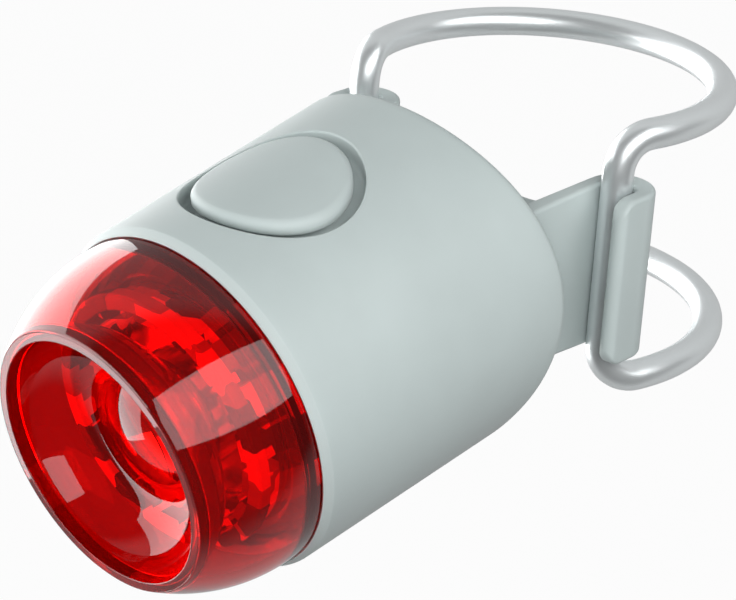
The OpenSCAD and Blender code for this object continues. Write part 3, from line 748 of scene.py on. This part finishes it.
class LIGHT_OT_lens(bpy.types.Operator):
    """Lens: a turned shell with a bulged side, a narrow rim, a deep bowl and a bull's-eye"""

    bl_idname = "rear_light.lens"
    bl_label = "Red Lens"

    def execute(self, context):
        n = context.scene.light_lens
        half = self.profile(n)
        shell = round_axis(half[:, :1], half[:, 1:], np.linspace(0, 2 * np.pi, 224, endpoint=False))
        obj = lay_mesh("lens_shell", [(shell, quads(*shell.shape[:2], wrap_v=True))], red_polycarbonate(), "light")
        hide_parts("outer_lens")
        return {"FINISHED"}

    def profile(self, n):
        """Half section from the middle of the back to the middle of the front: inner dish, chamber, skirt, bulged
        side as a parabola over a cone, flat rim with soft edges, quarter ellipse for the bowl and a shallow dome for
        the eye."""
        bowl_r, front, deep = n.rim_r - n.rim_w, -n.length, n.bowl - n.length
        t = np.linspace(0, 1, 40)
        side = np.array([n.base_r, 0]) + t[:, None] * np.array([n.rim_r - n.base_r, front])
        slant = np.array([n.length, n.rim_r - n.base_r]) / math.hypot(n.length, n.base_r - n.rim_r)
        side += (4 * n.bulge * t * (1 - t))[:, None] * slant
        edge_r, flat_in = 0.08 * MM, 0.12 * MM
        rim = np.concatenate([
            arc(n.rim_r - edge_r, front + edge_r, edge_r, -20, -90, 6),
            [[n.rim_r - flat_in, front], [bowl_r + flat_in, front]],
            arc(bowl_r + edge_r, front + edge_r, edge_r, -90, -170, 6),
        ])
        # A narrow step lies between the bowl's foot and the eye
        foot = n.eye_r + 0.6 * MM
        q = np.linspace(0.06, 1, 34) * np.pi / 2
        bowl = np.stack([foot + (bowl_r - foot) * np.cos(q), front + n.bowl * np.sin(q)], -1)
        d = np.linspace(1, 0, 24)
        eye = np.stack([n.eye_r * d, deep - n.eye_h * (1 - d**2)], -1)
        # Behind them lie the dish, a wall's thickness away, and the chamber, which leaves out the side's ends
        q = np.linspace(1, 0.05, 24) * np.pi / 2
        dish_r = n.rim_r - foot - n.wall / 3
        dish = np.stack([foot + dish_r * np.cos(q), front + n.wall + n.bowl * np.sin(q)], -1)
        chamber = side[::-1][4:-5] - n.wall * slant
        inner, outer = n.base_r - 3.8 * MM, n.base_r - 2.7 * MM
        skirt_front, skirt_back = -1.0 * MM, 2.6 * MM
        skirt = np.array([[inner, skirt_front], [inner, skirt_back], [outer, skirt_back], [outer, 0]])
        return np.concatenate([[[0, deep + n.wall]], dish, chamber, skirt, side, rim, bowl, eye])


class LIGHT_OT_guide(bpy.types.Operator):
    """Light guide: a flat ring with a crown of prisms and a hoop on their ends"""

    bl_idname = "rear_light.guide"
    bl_label = "Light Guide"

    def execute(self, context):
        n = context.scene.light_lens
        low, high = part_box("light_guide")
        front, back, r = low[1] - SEAM_Y, high[1] - SEAM_Y, high[0]
        a = np.linspace(0, 2 * np.pi, 160, endpoint=False)
        ring_w, ring_t, hoop_in, hoop_out, hoop_t = 2.4 * MM, 0.8 * MM, 0.9 * MM, 0.5 * MM, 1.2 * MM
        parts = []
        for half in (
            self.bar(r - ring_w, r, back - ring_t, back),
            self.bar(r - hoop_in, r + hoop_out, front, front + hoop_t),
        ):
            ring = round_axis(half[:, :1], half[:, 1:], a)
            parts.append((ring, quads(*ring.shape[:2], wrap_u=True, wrap_v=True)))
        parts += self.prisms(n.prisms, r, front, back)
        obj = lay_mesh("guide_crown", parts, red_acrylic_painted_glow(), "light", smooth=False)
        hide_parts("light_guide")
        return {"FINISHED"}

    def bar(self, r0, r1, y0, y1):
        """Closed rectangle with cut corners, as radius and length."""
        c = 0.15 * MM
        low = [[r0, y0 + c], [r0, y1 - c], [r0 + c, y1], [r1 - c, y1]]
        high = [[r1, y1 - c], [r1, y0 + c], [r1 - c, y0], [r0 + c, y0]]
        return np.array(low + high)

    def prisms(self, count, r, front, back):
        """Blocks at equal angles: each a section of four corners carried from the ring to the hoop."""
        half_w, thick, hoop_lap, ring_lap = 1.2 * MM, 1.7 * MM, 0.3 * MM, 0.4 * MM
        turn = np.arange(count) * 2 * np.pi / count
        x = np.array([-1, 1, 1, -1]) * half_w
        z = np.array([-1, -1, 0, 0]) * thick + r
        y = np.array([front + hoop_lap, back - ring_lap])[:, None]
        c, k = np.cos(turn)[:, None, None], np.sin(turn)[:, None, None]
        block = np.stack(np.broadcast_arrays(x * c + z * k, SEAM_Y + y, z * c - x * k), -1)
        sides = quads(2, 4, wrap_v=True)
        return [(b, sides) for b in block]


class LIGHT_OT_inside(bpy.types.Operator):
    """Finishes of the pieces inside and under the light that keep their CAD shape"""

    bl_idname = "rear_light.inside"
    bl_label = "Inner Pieces"

    def execute(self, context):
        abs_black = plain_finish("moulded_black_abs", "#1B1C1E", 0.45)
        board_green = plain_finish("green_solder_mask", "#1C5B36", 0.35)
        rubber = plain_finish("black_nitrile", "#161616", 0.7)
        phosphor = plain_finish("phosphor_gel", "#E8D27A", 0.3)
        finishes = {
            "inner_housing": abs_black,
            "board_link": abs_black,
            "control_chip": abs_black,
            "switch_base": abs_black,
            "usb_tongue": abs_black,
            "lens_seal": rubber,
            "button_seal": rubber,
            "foam_pad": plain_finish("grey_foam", "#4A4C4E", 0.95, depth=0.6, grain_mm=0.6),
            "collimator": plain_finish("clear_acrylic", "#FF4A3A", 0.03, Transmission_Weight=0.9, IOR=1.49),
            "reflector": plain_finish("plated_reflector", "#EDEDED", 0.18, 1.0),
            "led_board": plain_finish("white_solder_mask", "#E9E9E4", 0.4),
            "main_led": phosphor,
            "side_leds": phosphor,
            "main_board": board_green,
            "charge_board": board_green,
            "switch_plunger": plain_finish("cream_nylon", "#E2DAC4", 0.5),
            "battery_cell": plain_finish("foil_pouch", "#A7B0BC", 0.3, 0.8),
            "usb_shell": plain_finish("tinned_steel", "#C9CDD1", 0.25, 1.0),
            "port_cover": moulded_silicone(),
        }
        for name, finish in finishes.items():
            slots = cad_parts[name].data.materials
            slots.clear()
            slots.append(finish)
        return {"FINISHED"}


class LIGHT_OT_stage(bpy.types.Operator):
    """Stage: pale floor, soft lamps, white surroundings and the camera"""

    bl_idname = "rear_light.stage"
    bl_label = "Stage"

    def execute(self, context):
        scene = context.scene
        scene.view_settings.view_transform = "Standard"
        self.floor()
        self.surroundings(scene)
        self.lamps(scene)
        self.camera(scene)
        return {"FINISHED"}

    def backdrop(self, tree, place, near, far):
        """How much of the white backdrop a ray sees: all of it from the camera, some through glass, and in metal and
        gloss only what lies behind the light, between two distances. Also whether it is such a ray at all."""
        away, faint, bright, through_glass = (-0.72, 0.69, 0), 0.07, 0.6, 0.34
        ray = put(tree, "ShaderNodeLightPath").outputs
        camera, glass = ray["Is Camera Ray"], ray["Is Transmission Ray"]
        along = put(tree, "ShaderNodeVectorMath", {1: away}, {0: place}, operation="DOT_PRODUCT")
        behind = put(
            tree,
            "ShaderNodeMapRange",
            {"From Min": near, "From Max": far, "To Min": faint, "To Max": bright},
            {"Value": along.outputs["Value"]},
            interpolation_type="SMOOTHSTEP",
        )
        gloss = combine(tree, "MULTIPLY", behind.outputs["Result"], combine(tree, "SUBTRACT", 1.0, glass))
        around = combine(tree, "MULTIPLY_ADD", glass, through_glass, gloss)
        mirror = combine(tree, "MAXIMUM", ray["Is Glossy Ray"], glass)
        return combine(tree, "MAXIMUM", camera, around), combine(tree, "MAXIMUM", camera, mirror)

    def floor(self):
        """Pale floor, low under the light: backdrop for what sees it, and a dim matt surface for other light."""
        half, z, seen_share = 1.6, -0.45, 0.97
        corners = [(-half, -half, z), (half, -half, z), (half, half, z), (-half, half, z)]
        mesh = bpy.data.meshes.new("floor")
        mesh.from_pydata(corners, [], [(0, 1, 2, 3)])
        mat = bpy.data.materials.new("pale_floor")
        mat.use_nodes = True
        tree = mat.node_tree
        tree.nodes.clear()
        white, seen = self.backdrop(tree, put(tree, "ShaderNodeTexCoord").outputs["Object"], -0.45, -0.1)
        matt = put(tree, "ShaderNodeBsdfDiffuse", {"Color": (0.1, 0.1, 0.1, 1)}).outputs["BSDF"]
        glow = put(tree, "ShaderNodeEmission", {"Strength": 1.0}, {"Color": white}).outputs["Emission"]
        part = combine(tree, "MULTIPLY", seen, seen_share)
        both = put(tree, "ShaderNodeMixShader", links={"Fac": part, 1: matt, 2: glow})
        put(tree, "ShaderNodeOutputMaterial", links={"Surface": both.outputs["Shader"]})
        mesh.materials.append(mat)
        obj = bpy.data.objects.new("floor", mesh)
        bpy.context.scene.collection.objects.link(obj)

    def surroundings(self, scene):
        """White surroundings for what sees the backdrop, and a dim room for other light."""
        world = bpy.data.worlds.new("studio")
        world.use_nodes = True
        tree = world.node_tree
        tree.nodes.clear()
        white, seen = self.backdrop(tree, put(tree, "ShaderNodeTexCoord").outputs["Generated"], -0.05, 0.25)
        dim = {"Color": (0.55, 0.56, 0.57, 1), "Strength": 0.06}
        room = put(tree, "ShaderNodeBackground", dim).outputs["Background"]
        glow = put(tree, "ShaderNodeBackground", {"Strength": 1.0}, {"Color": white}).outputs["Background"]
        both = put(tree, "ShaderNodeMixShader", links={"Fac": seen, 1: room, 2: glow})
        put(tree, "ShaderNodeOutputWorld", links={"Surface": both.outputs["Shader"]})
        scene.world = world

    def lamps(self, scene):
        """Soft boxes: place and size in metres, brightness, and whether polished surfaces show them."""
        middle = 12 * MM
        aim = Vector((0, SEAM_Y + middle, 0))
        for name, place, size, glow, mirrored in (
            ("right_box", (0.331, -0.077, 0.225), (0.63, 0.30), 3.1, True),
            ("left_box", (-0.483, -0.16, -0.02), (1.0, 0.68), 3.6, True),
            ("front_box", (0.2, -0.35, 0.2), (0.4, 0.30), 2.7, False),
        ):
            lamp = bpy.data.lights.new(name, "AREA")
            lamp.shape, lamp.size, lamp.size_y = "RECTANGLE", size[0], size[1]
            lamp.energy = glow * math.pi * size[0] * size[1]
            obj = bpy.data.objects.new(name, lamp)
            obj.location = place
            obj.visible_glossy = mirrored
            obj.rotation_euler = (aim - obj.location).to_track_quat("-Z", "Y").to_euler()
            scene.collection.objects.link(obj)

    def camera(self, scene):
        """Camera from the photograph's circles: turn, tilt and roll in degrees, distance and shifts in millimetres,
        focal length in pixels of a frame 736 wide."""
        turn, tilt, roll = np.radians([45.892, 32.238, -5.422])
        away, right_mm, up_mm, focal_px = 175.046, 14.278, 8.365, 2192.538
        frame_px, sensor_mm = 736, 36
        back = np.array([math.sin(turn) * math.cos(tilt), -math.cos(turn) * math.cos(tilt), math.sin(tilt)])
        right0 = np.array([math.cos(turn), math.sin(turn), 0])
        up0 = np.cross(back, right0)
        right = math.cos(roll) * right0 + math.sin(roll) * up0
        up = -math.sin(roll) * right0 + math.cos(roll) * up0
        eye = np.array([0, SEAM_Y, 0]) + MM * (away * back + right_mm * right + up_mm * up)
        cam = bpy.data.cameras.new("camera")
        cam.sensor_width, cam.lens = sensor_mm, focal_px * sensor_mm / frame_px
        cam.clip_start, cam.clip_end = 0.01, 10
        obj = bpy.data.objects.new("camera", cam)
        matrix = np.eye(4)
        matrix[:3] = np.stack([right, up, back, eye], 1)
        obj.matrix_world = Matrix(matrix.tolist())
        scene.collection.objects.link(obj)
        scene.camera = obj


class LIGHT_PT_panel(bpy.types.Panel):
    """Lists the pieces and their sizes in the sidebar"""

    bl_idname = "LIGHT_PT_panel"
    bl_label = "Rear Light"
    bl_space_type = "VIEW_3D"
    bl_region_type = "UI"
    bl_category = "Rear Light"

    def draw(self, context):
        for op in OPERATORS:
            self.layout.operator(op.bl_idname)
        for group in (getattr(context.scene, name) for name in GROUPS):
            box = self.layout.box()
            for key in group.__annotations__:
                box.prop(group, key)


OPERATORS = (
    LIGHT_OT_sleeve,
    LIGHT_OT_button,
    LIGHT_OT_loop,
    LIGHT_OT_lens,
    LIGHT_OT_guide,
    LIGHT_OT_inside,
    LIGHT_OT_stage,
)
GROUPS = {"light_sleeve": SleeveSizes, "light_loop": LoopSizes, "light_lens": LensSizes, "light_finishes": Finishes}


def register():
    """Registers the classes and hangs the sizes and finishes on the scene."""
    for cls in (*GROUPS.values(), *OPERATORS, LIGHT_PT_panel):
        bpy.utils.register_class(cls)
    for name, cls in GROUPS.items():
        setattr(bpy.types.Scene, name, PointerProperty(type=cls))


def unregister():
    """Takes the sizes and finishes off the scene and unregisters the classes."""
    for name in GROUPS:
        delattr(bpy.types.Scene, name)
    for cls in (LIGHT_PT_panel, *reversed(OPERATORS), *reversed(list(GROUPS.values()))):
        bpy.utils.unregister_class(cls)


def main():
    """Builds everything in order."""
    register()
    for op in OPERATORS:
        area, name = op.bl_idname.split(".")
        getattr(getattr(bpy.ops, area), name)()


if __name__ == "__main__":
    main()
